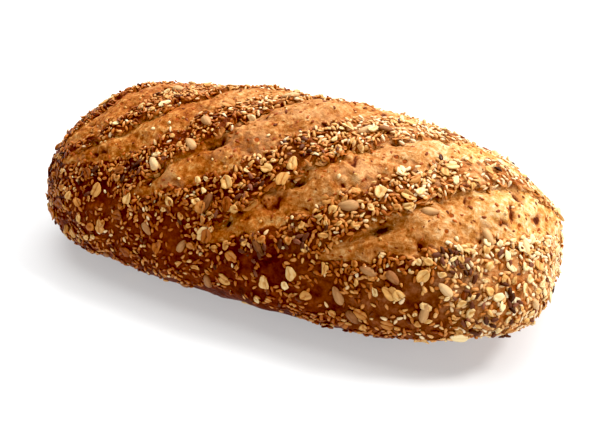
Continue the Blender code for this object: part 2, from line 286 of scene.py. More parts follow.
def finish_crust(point, crest_distance):
    """Fine relief: its height, its slide, the way into the opening, the masks and the grain.

    The height is a sum of smooth random fields, less a bell-shaped hollow for each pock. The slide
    falls off from the ear's edge by a bell curve.
    """
    x = point[:, 0]
    height = np.zeros_like(x)
    slide, toward = np.zeros((2, len(x), 2))
    way = np.zeros((len(x), 3))
    inside = np.full_like(x, -EDGE_LIMIT)
    dough, root, rim, pock = (np.zeros_like(x) for _ in range(4))
    for number, slash in enumerate(SLASHES):
        run, past_ear, past_lip, fade, stand = slash_place(number, x, crest_distance)
        opened = (past_ear < 0) & (past_lip < 0)
        wide = np.maximum(-past_ear - past_lip, 1e-6)
        to_ear = np.clip(-past_lip / wide, 0, 1)
        on_ear = soft_step(1 + past_ear / EAR_WALL)
        on_lip = soft_step(1 + past_lip / LIP_WALL)
        bare = (1 - on_ear) * (1 - on_lip)
        apart = np.full_like(x, number * SLASHES_APART)
        grain = np.stack([run, past_lip * FIBRE_STRETCH, apart], axis=1)
        height += FIBRES[0] * bare * lumps(grain, FIBRES[1], SEED + 20)
        # The rim of the ear slides towards the opening and hangs over its root.
        uneven = 1 + UNEVEN_EAR * lumps(grain * [1, 0, 1], UNEVEN_SPACING, SEED + 21)
        hang = stand * uneven * on_ear * np.exp(-((np.maximum(past_ear, 0) / OVERHANG_REACH) ** 2))
        hang *= OVERHANG
        run_x, run_over = slash[2] - slash[0], slash[3] - slash[1]
        over_edge = np.array([-run_over, run_x]) / math.hypot(run_x, run_over)
        slide += hang[:, None] * over_edge
        here = -np.maximum(past_ear, past_lip)
        way = np.where((here > inside)[:, None], grain, way)
        toward = np.where((here > inside)[:, None], over_edge, toward)
        inside = np.maximum(inside, here)
        dough = np.maximum(dough, bare * (fade > 0))
        # The root mask is painted shade on the dough under each ear
        root = np.maximum(root, stand * uneven * opened * to_ear**ROOT_CURVE)
        rim = np.maximum(rim, stand * np.exp(-((past_ear / RIM_REACH) ** 2)))
    for number, (tall, size) in enumerate(BLISTERS):
        height += tall * dough * billows(point, size, SEED + 10 + number)
    for number, (tall, size) in enumerate(SKIN_LUMPS):
        height += tall * (1 - dough) * lumps(point, size, SEED + 15 + number)
    draw = np.random.default_rng(SEED + 22)
    chosen = draw.uniform(0, 1, len(x)) < POCK_CHOICE
    spots = np.nonzero((inside > POCK_INSET) & chosen)[0]
    hollow = np.zeros_like(x)
    for spot in draw.choice(spots, POCK_COUNT, replace=False):
        radius = POCK_RADIUS[0] + (POCK_RADIUS[1] - POCK_RADIUS[0]) * draw.uniform() ** 3
        stretch = np.array([draw.uniform(*POCK_LONG), draw.uniform(*POCK_WIDE) / FIBRE_STRETCH, 1])
        here = np.exp(-(((way - way[spot]) * stretch) ** 2).sum(axis=1) / radius**2)
        # The pock mask is painted shade in each pock's hollow
        pock = np.maximum(pock, here)
        hollow = np.maximum(hollow, here * radius)
    height -= POCK_DEPTH * hollow
    pock *= soft_step((POCK_END - x) / POCK_FADE)
    # The pit mask is painted shade in the crevices under the ears
    _, pit = crevices(x, crest_distance)
    dusted = np.zeros_like(x)
    for dusted_x, dusted_over, radius in DUSTED:
        far = ((x - dusted_x) ** 2 + (crest_distance - dusted_over) ** 2) / radius**2
        dusted = np.maximum(dusted, np.exp(-far))
    masks = {"inside_mm": inside * 1000, "root": root, "rim": rim, "pock": pock, "pit": pit}
    masks["dusted"] = dusted
    return height, slide, toward, masks, way


def bake_and_painted_light(x, crest_distance):
    """How pale the dough, skin and toppings are, 0 (dark) to 1, by oven colour and painted light.

    The left and lower crust baked darkest. Each is a sum of soft steps and powers of the way up and
    to the right, in metres, and of the band along the crest. The rise to the right, the crest band
    and the skin's pale right end are also painted light from above and from the right. The near side
    stays dark low down, which is painted shade.
    """
    up_right = x - crest_distance
    crest = soft_step((0.026 - crest_distance) / 0.036)
    crest *= soft_step((crest_distance + 0.060) / 0.030)
    dough = 0.04 + 0.14 * soft_step((up_right + 0.060) / 0.060) + 0.14 * crest
    dough += 0.80 * np.clip((up_right - 0.012) / 0.080, 0, 1) ** 2.2
    skin = 0.12 * soft_step((up_right + 0.070) / 0.070) + 0.60 * crest
    skin += 0.95 * np.clip((up_right - 0.012) / 0.080, 0, 1) ** 1.3
    skin += 0.60 * soft_step((x - 0.098) / 0.020)
    low_side = soft_step((crest_distance - 0.040) / 0.022) * soft_step((0.098 - x) / 0.024)
    toppings = np.clip((up_right + 0.080) / 0.180, 0, 1) + 0.40 * crest - 0.28 * low_side
    return np.clip(dough, 0, 1), np.clip(skin, 0, 1), np.maximum(toppings, 0)


def crust_angles():
    """Angles of the crust's rows: evenly spaced round the middle section, sparser under it."""
    fine = np.linspace(-math.pi / 2, 3 * math.pi / 2, OUTLINE_STEPS)
    section = smooth_crust(np.zeros(1), fine)
    step = np.linalg.norm(np.diff(section, axis=0), axis=1)
    step *= np.where(section[1:, 2] < 0, UNDER_SHARE, 1)
    walked = np.concatenate([[0], np.cumsum(step)])
    return np.interp(np.arange(ROWS_AROUND) / ROWS_AROUND, walked / walked[-1], fine)


def shaped_crust():
    """Grid of the crust by rows: point, normal, crest distance, way into a slash, masks, grain."""
    shares = (np.arange(ROWS_ALONG) + 1) / (ROWS_ALONG + 1)
    share, angle = (grid.ravel() for grid in np.meshgrid(shares, crust_angles(), indexing="ij"))
    point, by_share, by_angle, over = crust_surface(share, angle)
    outward = unit(np.cross(by_angle, by_share))
    height, _ = relief(point, over)
    fine_height, slide, toward, masks, way = finish_crust(point, over)
    # Paleness masks: oven colour, plus painted light on the crest and the right end and painted shade
    # low on the near side
    masks["dough_bake_and_light"], masks["skin_bake_and_light"], masks["pale"] = bake_and_painted_light(point[:, 0], over)
    point = point + outward * (height + fine_height)[:, None]
    point += unit(by_share) * slide[:, :1] + unit(by_angle) * slide[:, 1:]
    toward = unit(by_share) * toward[:, :1] + unit(by_angle) * toward[:, 1:]
    point[:, 2] = np.maximum(point[:, 2], 0)
    grid = point.reshape(ROWS_ALONG, ROWS_AROUND, 3)
    down = np.gradient(grid, axis=0)
    across = np.roll(grid, -1, axis=1) - np.roll(grid, 1, axis=1)
    normal = unit(np.cross(across, down)).reshape(-1, 3)
    return point, normal, over, toward, masks, way


def new_piece(name, points, faces, floats=None, vectors=None):
    """Object at the origin from arrays of points and of faces, with its named attributes."""
    mesh = bpy.data.meshes.new(name)
    counts = np.concatenate([np.full(len(block), block.shape[1]) for block in faces])
    corners = np.concatenate([block.ravel() for block in faces])
    mesh.vertices.add(len(points))
    mesh.vertices.foreach_set("co", np.asarray(points, np.float32).ravel())
    mesh.loops.add(len(corners))
    mesh.loops.foreach_set("vertex_index", corners.astype(np.int32))
    mesh.polygons.add(len(counts))
    starts = np.concatenate([[0], np.cumsum(counts)[:-1]])
    mesh.polygons.foreach_set("loop_start", starts.astype(np.int32))
    mesh.polygons.foreach_set("use_smooth", np.ones(len(counts), bool))
    for title, values in (floats or {}).items():
        attribute = mesh.attributes.new(title, "FLOAT", "POINT")
        attribute.data.foreach_set("value", np.asarray(values, np.float32).ravel())
    for title, values in (vectors or {}).items():
        attribute = mesh.attributes.new(title, "FLOAT_VECTOR", "POINT")
        attribute.data.foreach_set("vector", np.asarray(values, np.float32).ravel())
    mesh.update(calc_edges=True)
    mesh.validate()
    piece = bpy.data.objects.new(name, mesh)
    bpy.context.scene.collection.objects.link(piece)
    return piece


def on_loaf(piece):
    """Everything on the loaf rides on its one body and stands for its solid."""
    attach(piece, "root")
    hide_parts("loaf")


def linear(hex_colour):
    """Linear colour of an sRGB hex value."""
    parts = [int(hex_colour[place : place + 2], 16) / 255 for place in (1, 3, 5)]
    lit = [part / 12.92 if part <= 0.04045 else ((part + 0.055) / 1.055) ** 2.4 for part in parts]
    return lit + [1]


def add_node(tree, kind, inputs=(), stops=(), **settings):
    """Adds a node with its settings, its ramp's stops and its inputs, by name or in their order.

    An input is another node, whose first output it takes, or an output, a hex colour or a value.
    """
    node = tree.nodes.new("ShaderNode" + kind)
    for title, value in settings.items():
        setattr(node, title, value)
    for number, (place, colour) in enumerate(stops):
        if number >= len(node.color_ramp.elements):
            node.color_ramp.elements.new(place)
        node.color_ramp.elements[number].position = place
        node.color_ramp.elements[number].color = linear(colour)
    for title, value in inputs.items() if isinstance(inputs, dict) else enumerate(inputs):
        if isinstance(value, bpy.types.Node):
            tree.links.new(value.outputs[0], node.inputs[title])
        elif isinstance(value, bpy.types.NodeSocket):
            tree.links.new(value, node.inputs[title])
        else:
            node.inputs[title].default_value = linear(value) if isinstance(value, str) else value
    return node


def new_material(name):
    """Material with an empty node tree, and add_node bound to that tree."""
    material = bpy.data.materials.new(name)
    material.use_nodes = True
    material.node_tree.nodes.clear()
    return material, functools.partial(add_node, material.node_tree)


def crust_material():
    """Baked wheat crust: the skin is dark, thin and satin, and the opened dough pale and dull."""
    material, add = new_material("Baked wheat crust")
    place = add("TexCoord").outputs["Object"]
    way = add("Attribute", attribute_name="way").outputs["Vector"]
    masks = {
        name: add("Attribute", attribute_name=name).outputs["Fac"]
        for name in ("inside_mm", "root", "rim", "pock", "pit", "dusted", "dough_bake_and_light", "skin_bake_and_light")
    }
    # Patterns of the crumb and skin, and of the dough's pull: size in metres, detail, roughness
    wide, middling, crumbly, fine, powder, streaks, tears = (
        add("TexNoise", {"Vector": where, "Scale": 1 / size, "Detail": detail, "Roughness": roughness})
        for where, size, detail, roughness in (
            (place, 0.014, 2.0, 0.5),
            (place, 0.0050, 3.0, 0.55),
            (place, 0.0022, 5.0, 0.65),
            (place, 0.0014, 3.0, 0.6),
            (place, 0.011, 5.0, 0.7),
            (way, 0.0070, 4.0, 0.6),
            (way, 0.0060, 3.0, 0.55),
        )
    )
    rough = add("Mix", {0: 0.5, 2: middling, 3: crumbly})
    skin_pattern = add("Mix", {0: 0.72, 2: wide, 3: rough})
    lobed = add("Mix", {0: 0.45, 2: wide, 3: middling})
    fibrous = add("Mix", {0: 0.3, 2: crumbly, 3: streaks})
    dough_pattern = add("Mix", {0: 0.60, 2: lobed, 3: fibrous})
    grain = add("Mix", {0: 0.5, 2: fibrous, 3: middling})

    # Dark baking at the left and low down, pale baking towards the crest and the right end; this
    # paleness is also painted light from above and from the right
    skin, dough = (
        add(
            "Mix",
            {
                0: share,
                6: add("ValToRGB", (pattern,), deep),
                7: add("ValToRGB", (pattern,), pale),
            },
            data_type="RGBA",
        ).outputs[2]
        for pattern, share, deep, pale in (
            (
                skin_pattern,
                masks["skin_bake_and_light"],
                ((0.38, "#451506"), (0.46, "#5c200a"), (0.54, "#722d0f"), (0.62, "#8a421c")),
                ((0.38, "#8a3f17"), (0.46, "#b26a34"), (0.54, "#cf925b"), (0.62, "#e6ba88")),
            ),
            (
                dough_pattern,
                masks["dough_bake_and_light"],
                ((0.40, "#6c2905"), (0.47, "#994c12"), (0.53, "#b86c28"), (0.60, "#dba058")),
                ((0.40, "#a95f22"), (0.47, "#da9a4e"), (0.53, "#efbf7f"), (0.60, "#fbe2b8")),
            ),
        )
    )
    # Flour that was dusted on the loaf, left as a thin pinkish film in patches
    film = add("Math", (masks["dusted"], 0.16, powder), operation="MULTIPLY_ADD")
    film = add("MapRange", (film, 0.54, 0.74, 0.0, 0.36))
    # Thin darker veins along the pull of the dough, where it tore as it swelled
    vein = add("Math", (tears, 0.5), operation="SUBTRACT")
    vein = add("Math", (vein,), operation="ABSOLUTE")
    vein = add("MapRange", (vein, 0.0, 0.022, 0.55, 0.0))
    for share, colour in ((film, "#e2b27c"), (vein, "#9c4c1a")):
        over = {0: share, 6: dough, 7: colour}
        dough = add("Mix", over, data_type="RGBA").outputs[2]
    # The skin ends in a ragged line, within about a millimetre of the opening's edge
    torn = add("Math", (fine, 2.6, masks["inside_mm"]), operation="MULTIPLY_ADD")
    bare = add("MapRange", (torn, 1.1, 1.8))
    baked = add("Mix", {0: bare, 6: skin, 7: dough}, data_type="RGBA").outputs[2]

    # Specks where a grain or bubble shows through the opened dough
    cells = add("TexVoronoi", {"Vector": place, "Scale": 1 / 0.0040})
    chance = add("SeparateColor", (cells.outputs["Color"],))
    size = add("MapRange", (chance, 0.45, 1.0, 0.0, 0.26))
    within = add("Math", (size, cells.outputs["Distance"]), operation="SUBTRACT")
    speck = add("MapRange", (within, -0.08, 0.02))
    speck = add("Math", (speck, bare), operation="MULTIPLY")

    # Painted shade in hollows: a darker ring and core in each pock, the ear roots and the crevices.
    # Their masks have soft edges, which are frayed here
    halo, core, root, pit = (
        add(
            "MapRange",
            (add("Math", (fine, 0.8, masks[name]), operation="MULTIPLY_ADD"), low, high, 0.0, most),
        )
        for name, low, high, most in (
            ("pock", 0.55, 1.00, 0.7),
            ("pock", 0.92, 1.20, 1.0),
            ("root", 0.80, 1.10, 1.0),
            ("pit", 1.00, 1.35, 1.0),
        )
    )
    pock_shade_colours = {0: masks["dough_bake_and_light"], 6: "#85330e", 7: "#b86a32"}
    ring = add("Mix", pock_shade_colours, data_type="RGBA").outputs[2]
    for share, colour in (
        (speck, "#9a4413"),
        (masks["rim"], "#6b2a0a"),
        (halo, ring),
        (core, "#551c07"),
        (root, "#5a1f06"),
        (pit, "#38140a"),
    ):
        over = {0: share, 6: baked, 7: colour}
        baked = add("Mix", over, data_type="RGBA").outputs[2]
    height = add("Math", (speck, -0.15, grain), operation="MULTIPLY_ADD")
    shader = add(
        "BsdfPrincipled",
        {
            "Base Color": baked,
            "Roughness": add("MapRange", (bare, 0.0, 1.0, 0.42, 0.6)),
            "Specular IOR Level": add("MapRange", (bare, 0.0, 1.0, 0.04, 0.12)),
            "Specular Tint": "#ffd9b0",
            "Normal": add("Bump", {"Height": height, "Strength": 1.0, "Distance": 0.0022}),
        },
    )
    add("OutputMaterial", (shader,))
    return material


crust_point, crust_normal, crust_over, crust_toward, crust_masks, crust_way = shaped_crust()
first_row = np.arange(ROWS_AROUND)
next_column = np.roll(first_row, -1)
row_start = np.arange(ROWS_ALONG - 1)[:, None] * ROWS_AROUND
crust_quads = np.stack(
    [
        row_start + first_row,
        row_start + next_column,
        row_start + ROWS_AROUND + next_column,
        row_start + ROWS_AROUND + first_row,
    ],
    axis=-1,
).reshape(-1, 4)
last_row = (ROWS_ALONG - 1) * ROWS_AROUND
left_tip = ROWS_ALONG * ROWS_AROUND
crust_tips = np.array([[-LENGTH / 2, 0, SHOULDER], [LENGTH / 2, 0, SHOULDER]])
left_fan = np.stack([next_column, first_row, np.full(ROWS_AROUND, left_tip)], axis=1)
right_fan = np.stack(
    [last_row + first_row, last_row + next_column, np.full(ROWS_AROUND, left_tip + 1)], axis=1
)
crust = new_piece(
    "crust",
    np.concatenate([crust_point, crust_tips]),
    (crust_quads, left_fan, right_fan),
    {name: np.append(mask, mask[[0, -1]]) for name, mask in crust_masks.items()},
    {"way": np.concatenate([crust_way, crust_way[[0, -1]]])},
)
crust.data.materials.append(crust_material())
on_loaf(crust)

# Larger toppings: rolled oat flakes and sunflower kernels, pressed into the skin before baking.
# They lie where the solid has its fused lumps, by the same seeded rule.
FLAKE_COUNT, FLAKE_SIZE = 130, (0.0066, 0.0051)
KERNEL_COUNT, KERNEL_SIZE = 48, (0.0084, 0.0040)
TOPPING_ROOM, TOPPING_FLOOR = 0.0094, 0.0065
TOP_REACH, TOP_SHARE = 0.055, 0.45
CANDIDATES = 9000
SIZE_SPREAD, LEAN = (0.82, 1.15), 0.16
# Painted shade in a topping's tone: kernels darker underneath, flakes in their creases and cracks
FLAKE_PAINTED_SHADE, KERNEL_PAINTED_SHADE = 0.28, 0.35
# Rise of a topping's middle over the crust, and where the crust turns under
KERNEL_REST, FLAKE_REST, UNDER_REST, UNDER = 0.0006, 0.0008, 0.0001, -0.1
# Flakes: sides and rings, lobes of the outline, and ranges or means and spreads of their form
FLAKE_FORM = 20, (0.30, 0.58, 0.82, 0.95, 1.0)
FLAKE_LOBES = ((2, 0.10), (3, 0.09), (5, 0.05), (7, 0.03))
FLAKE_THICK, FLAKE_CREASE = (0.0004, 0.0007), (0.0003, 0.0007)
FLAKE_BEND, FLAKE_FOLD, FLAKE_CURL = (0.0002, 0.0004), (0.0003, 0.0005), (0, 0.0005)
CRACKS, CRACK_DEPTH, CRACK_WIDTH = 2, 0.5, 0.28
CREASE_WIDTH, CREASE_STRAY = 0.10, 0.12
GRAIN_APART = 0.013


def topping_places(wanted, kind_seed, taken):
    """Seeded places on the whole crust, evenly spread and clear of the places already taken."""
    draw = np.random.default_rng(kind_seed)
    share = draw.uniform(0, 1, CANDIDATES)
    angle = draw.uniform(-math.pi, math.pi, CANDIDATES)
    keep = draw.uniform(0, 1, CANDIDATES)
    point, by_share, by_angle, over = crust_surface(share, angle)
    normal = np.cross(by_angle, by_share)
    stretch = np.linalg.norm(normal, axis=1)
    height, opened = relief(point, over)
    point = point + unit(normal) * height[:, None]
    wish = stretch / stretch.max() * np.where(np.abs(over) < TOP_REACH, TOP_SHARE, 1)
    good = (keep < wish) & (opened == 0) & (point[:, 2] > TOPPING_FLOOR)
    chosen = []
    for place, outward in zip(point[good], unit(normal[good])):
        if len(chosen) == wanted:
            break
        if all(np.linalg.norm(place - other) > TOPPING_ROOM for other in taken):
            taken.append(place)
            chosen.append((place, outward))
    return [np.array(column) for column in zip(*chosen)]


crust_tree = KDTree(len(crust_point))
for number, place in enumerate(crust_point):
    crust_tree.insert(place, number)
crust_tree.balance()


def topping_poses(places, outward, draw):
    """Rest of each larger topping: its spot on the crust, turned axes, size and paleness."""
    dice = draw.uniform(0, 1, (len(places), 5))
    low, high = SIZE_SPREAD
    grow = low + (high - low) * dice[:, 0]
    lean = LEAN * (2 * dice[:, 1:4] - 1)
    spin = 2 * math.pi * dice[:, 4]
    nearest = np.array([crust_tree.find(place)[1] for place in places])
    up = unit(outward + crust_normal[nearest] + lean)
    rise = np.array([0, 0, 1.0]) - up * up[:, 2:]
    across = unit(rise)
    along = np.cross(across, up)
    turned = along * np.cos(spin)[:, None] + across * np.sin(spin)[:, None]
    axes = np.stack([turned, np.cross(up, turned), up], axis=1)
    return crust_point[nearest], axes, grow, crust_masks["pale"][nearest]


def strewn(name, local, faces, place, axes, tone, material):
    """One mesh of many like things: each one's points, turned by its axes and set at its place."""
    count, corners = local.shape[:2]
    world = np.einsum("nvk,nkc->nvc", local, axes) + place[:, None]
    world[..., 2] = np.maximum(world[..., 2], 0)
    shift = (np.arange(count) * corners)[:, None, None]
    blocks = tuple((block[None] + shift).reshape(-1, block.shape[1]) for block in faces)
    piece = new_piece(
        name,
        world.reshape(-1, 3),
        blocks,
        {"tone": np.broadcast_to(np.reshape(tone, (count, -1)), (count, corners)).ravel()},
        {"lie": (local + np.arange(count)[:, None, None] * GRAIN_APART).reshape(-1, 3)},
    )
    piece.data.materials.append(material)
    on_loaf(piece)


def closed_rings(rings, sides):
    """Faces of stacked rings with a point at each end: the first, the rings and the last."""
    around = np.arange(sides)
    after = np.roll(around, -1)
    start = 1 + np.arange(rings - 1)[:, None] * sides
    corners = [start + around, start + after, start + sides + after, start + sides + around]
    quads = np.stack(corners, axis=-1)
    first = np.stack([np.zeros(sides, int), 1 + after, 1 + around], axis=1)
    last = 1 + (rings - 1) * sides
    final = np.stack([last + around, last + after, np.full(sides, last + sides)], axis=1)
    return quads.reshape(-1, 4), np.concatenate([first, final])


def flake_shapes(grow, size, draw, sides, radii, broken):
    """Rolled flakes: a lobed oval with cracks in its rim, domed by a power of its radius.

    Each is creased along its middle, bent by the square of its length and folded across. The share
    given by broken ends in a straight break on one side. The shade of a point, which is painted
    shade, is 1 in the crease and the cracks, and part of that along the rim.
    """
    count = len(grow)
    turn = np.arange(sides) / sides * 2 * math.pi
    uneven = np.ones((count, sides))
    for wave, depth in FLAKE_LOBES:
        phase = draw.uniform(0, 2 * math.pi, (count, 1))
        uneven += depth * draw.uniform(0.2, 1, (count, 1)) * np.sin(wave * turn + phase)
    crack = np.zeros((count, sides))
    for _ in range(CRACKS):
        from_crack = np.angle(np.exp(1j * (turn - draw.uniform(0, 2 * math.pi, (count, 1)))))
        deep = draw.uniform(0, CRACK_DEPTH, (count, 1))
        crack += deep * np.exp(-((from_crack / CRACK_WIDTH) ** 2))
    break_side = np.maximum(np.cos(turn - draw.uniform(0, 2 * math.pi, (count, 1))), 0.05)
    kept = np.where(draw.uniform(size=(count, 1)) < broken, draw.uniform(0.1, 0.7, (count, 1)), 9)
    half = grow[:, None, None] / 2
    thick = draw.uniform(*FLAKE_THICK, (count, 1, 1)) * grow[:, None, None]
    bend, fold, curl = (
        draw.normal(*spread, (count, 1, 1)) * grow[:, None, None]
        for spread in (FLAKE_BEND, FLAKE_FOLD, FLAKE_CURL)
    )
    crease = draw.uniform(*FLAKE_CREASE, (count, 1, 1)) * grow[:, None, None]
    off_middle = draw.normal(0, CREASE_STRAY, (count, 1, 1))
    top_and_under = [(radius, 1) for radius in radii] + [(radius, -1) for radius in radii[-2::-1]]
    radius = np.array([pair[0] for pair in top_and_under])[None, :, None]
    face = np.array([pair[1] for pair in top_and_under])[None, :, None]
    rim = uneven[:, None] - crack[:, None] * radius**3
    reach = radius * np.minimum(rim, (kept / break_side)[:, None])
    along, across = reach * np.cos(turn), reach * np.sin(turn)
    in_crease = np.exp(-(((across - off_middle) / CREASE_WIDTH) ** 2)) * (1 - 0.6 * radius**4)
    lift = thick * face * np.maximum(1 - radius**2, 0) ** 0.35
    lift = lift - crease * (face > 0) * in_crease
    lift = lift + bend * along**2 + fold * np.abs(across) ** 1.3 + curl * along * across
    rings = np.stack([along * size[0] * half, across * size[1] * half, lift], axis=-1)
    top = np.concatenate([np.zeros((count, 1, 2)), thick - crease], axis=2)
    under = np.concatenate([np.zeros((count, 1, 2)), -thick], axis=2)
    # Painted shade in the crease and the cracks, and part of it along the rim
    shade = np.maximum(in_crease, crack[:, None] * 1.5) + 0.35 * radius**6
    shade = np.concatenate(
        [np.ones((count, 1)), shade.reshape(count, -1), np.zeros((count, 1))], axis=1
    )
    quads, fans = closed_rings(len(top_and_under), sides)
    points = np.concatenate([top, rings.reshape(count, -1, 3), under], axis=1)
    return points, shade, (quads[:, ::-1], fans[:, ::-1])


def kernel_shapes(grow, draw, size, thick, point_share, ridge, rings, sides):
    """Seeds: an ellipsoid narrowed to one tip, with ridges that run from tip to tip."""
    count = len(grow)
    turn = np.arange(sides) / sides * 2 * math.pi
    travel = np.cos(np.linspace(math.pi, 0, rings + 2)[1:-1])[None, :, None]
    half = grow[:, None, None] / 2
    slim = draw.uniform(0.86, 1.10, (count, 1, 1))
    girth = np.sqrt(1 - travel**2) * (1 - point_share * travel)
    girth = girth * (1 + ridge * np.cos(4 * turn + draw.uniform(0, 2 * math.pi, (count, 1, 1))))
    x = np.broadcast_to(travel * size[0] * half, girth.shape)
    y = girth * np.cos(turn) * size[1] * half * slim
    z = girth * np.sin(turn) * thick * half * slim
    body = np.stack(np.broadcast_arrays(x, y, z), axis=-1).reshape(count, -1, 3)
    tip = np.concatenate([size[0] * half, np.zeros((count, 1, 2))], axis=2)
    quads, fans = closed_rings(rings, sides)
    return np.concatenate([-tip, body, tip], axis=1), (quads, fans)


def topping_material(name, stops, roughness, grain_size, grain_strength):
    """Skin of a seed or flake: coloured by how toasted it is and varied by a fine grain."""
    material, add = new_material(name)
    tone = add("Attribute", attribute_name="tone").outputs["Fac"]
    lie = add("Attribute", attribute_name="lie").outputs["Vector"]
    # The grain runs along the seed, four times as long as it is wide
    scale = (0.25 / grain_size, 1 / grain_size, 1 / grain_size)
    place = add("Mapping", {"Vector": lie, "Scale": scale})
    grain = add("TexNoise", {"Vector": place, "Scale": 1.0, "Detail": 3.0})
    varied = add("Math", (grain, grain_strength, tone), operation="MULTIPLY_ADD")
    centred = add("Math", (varied, grain_strength / 2), operation="SUBTRACT")
    shader = add(
        "BsdfPrincipled",
        {
            "Base Color": add("ValToRGB", (centred,), stops),
            "Roughness": roughness,
            "Specular IOR Level": 0.25,
            "Specular Tint": "#ffe2bd",
            "Normal": add("Bump", {"Height": grain, "Strength": 0.4, "Distance": 0.0002}),
        },
    )
    add("OutputMaterial", (shader,))
    return material


taken = []
kernel_places, kernel_outward = topping_places(KERNEL_COUNT, SEED + 1, taken)
flake_places, flake_outward = topping_places(FLAKE_COUNT, SEED + 2, taken)
topping_draw = np.random.default_rng(SEED + 3)

# Sunflower kernels: hulled seeds, smooth and grey-tan, thick at one end and pointed at the other.
# Each lies along the skin, pressed into it, and they toast darker than the oats.
KERNEL_THICK = 0.0030
# Form: how much it narrows to the tip, depth of its ridges, rings and sides
KERNEL_FORM = 0.22, 0.03, 11, 14
KERNEL_RAMP = ((0.0, "#ebcd9c"), (0.4, "#cb9b66"), (0.75, "#945c34"), (1.0, "#562a10"))
place, axes, grow, pale = topping_poses(kernel_places, kernel_outward, topping_draw)
shape_draw = np.random.default_rng(SEED + 31)
local, faces = kernel_shapes(grow, shape_draw, KERNEL_SIZE, KERNEL_THICK, *KERNEL_FORM)
# Kernels are paler where the crust is pale, which is partly painted light
tone = shape_draw.normal(0.55, 0.2, len(place)) - 0.35 * pale
height_share = local[..., 2] / (KERNEL_THICK * grow[:, None])
# Painted shade: each kernel is lighter on top and darker underneath
tone = tone[:, None] + KERNEL_PAINTED_SHADE * (0.5 - height_share)
sunflower_material = topping_material(
    "Hulled sunflower kernel", KERNEL_RAMP, roughness=0.5, grain_size=0.0008, grain_strength=0.45
)
rest = np.where(axes[:, 2, 2:] < UNDER, UNDER_REST, KERNEL_REST)
strewn("sunflower_kernels", local, faces, place + axes[:, 2] * rest, axes, tone, sunflower_material)

# Rolled oat flakes: steamed and rolled oat grains, pale and matt with a crease along the middle.
# They are pressed on flat, and a few of them toasted orange.
FLAKE_BROKEN, FLAKE_TOASTED = 0.3, 0.16
OAT_RAMP = ((0.0, "#f6dda6"), (0.35, "#d9a35c"), (0.7, "#b26426"), (1.0, "#74300a"))
place, axes, grow, pale = topping_poses(flake_places, flake_outward, topping_draw)
shape_draw = np.random.default_rng(SEED + 30)
local, shade, faces = flake_shapes(grow, FLAKE_SIZE, shape_draw, *FLAKE_FORM, FLAKE_BROKEN)
# Flakes are paler where the crust is pale, which is partly painted light
tone = shape_draw.normal(0.45, 0.18, len(place)) - 0.26 * pale
tone = np.where(shape_draw.uniform(size=len(place)) < FLAKE_TOASTED, 0.85, tone)
oat_material = topping_material(
    "Rolled oat", OAT_RAMP, roughness=0.5, grain_size=0.0007, grain_strength=0.5
)
# Painted shade in each flake's crease and cracks
tone = tone[:, None] + FLAKE_PAINTED_SHADE * shade
rest = np.where(axes[:, 2, 2:] < UNDER, UNDER_REST, FLAKE_REST)
strewn("oat_flakes", local, faces, place + axes[:, 2] * rest, axes, tone, oat_material)

# Sesame: hulled seeds about 3 mm long, cream where raw and golden where the oven toasted them.
# They cover the skin, crowd along the ears in two layers and leave the slashes bare.
SESAME_COUNT, SESAME_SIZE, SESAME_THICK = 7000, (0.0029, 0.00148), 0.00100
# The seed shade is painted shade: each seed is lighter on top and darker underneath
SESAME_ROOM, SESAME_FORM, SEED_PAINTED_SHADE = 0.00130, (0.36, 0.0, 4, 6), 0.45
HULLED_RAMP = ((0.0, "#f9e0b4"), (0.35, "#dda25c"), (0.7, "#b25f26"), (1.0, "#7c340c"))
TOASTED_RAMP = ((0.0, "#e8b070"), (0.35, "#c27534"), (0.7, "#9a4a16"), (1.0, "#5c2006"))
FLAKE_CLEAR, KERNEL_CLEAR = 0.0022, 0.0020
# Rise and lean of a seed on the skin, and what the crowd beside a slash adds to them
SESAME_REST, PILE_REST, SESAME_LEAN, PILE_LEAN = 0.0003, 0.0013, 0.15, 0.35
# Crowd beside a slash: how much it adds, and its reach in millimetres
CROWDING, CROWD_REACH, PILE_REACH = 2.0, 6.5, 6
RUBBED_SHARE = 0.90
# Seedless strip above the base: its least height, its most, where that is and how far it reaches
BASE_BARE = 0.0040, 0.0150, 0.008, 0.030
# Places where the seeds rubbed off: along the loaf, distance from the crest, radius
RUBBED = (
    (0.092, 0.011, 0.0110),
    (0.107, 0.002, 0.0120),
    (0.120, -0.007, 0.0100),
    (0.076, -0.020, 0.0060),
    (0.104, 0.053, 0.0080),
    (0.091, 0.068, 0.0080),
    (0.120, 0.036, 0.0060),
    (0.026, 0.084, 0.0070),
    (-0.024, 0.083, 0.0090),
    (-0.068, 0.068, 0.0050),
)

cell_area = np.linalg.norm(
    np.cross(
        crust_point[crust_quads[:, 1]] - crust_point[crust_quads[:, 0]],
        crust_point[crust_quads[:, 3]] - crust_point[crust_quads[:, 0]],
    ),
    axis=1,
)


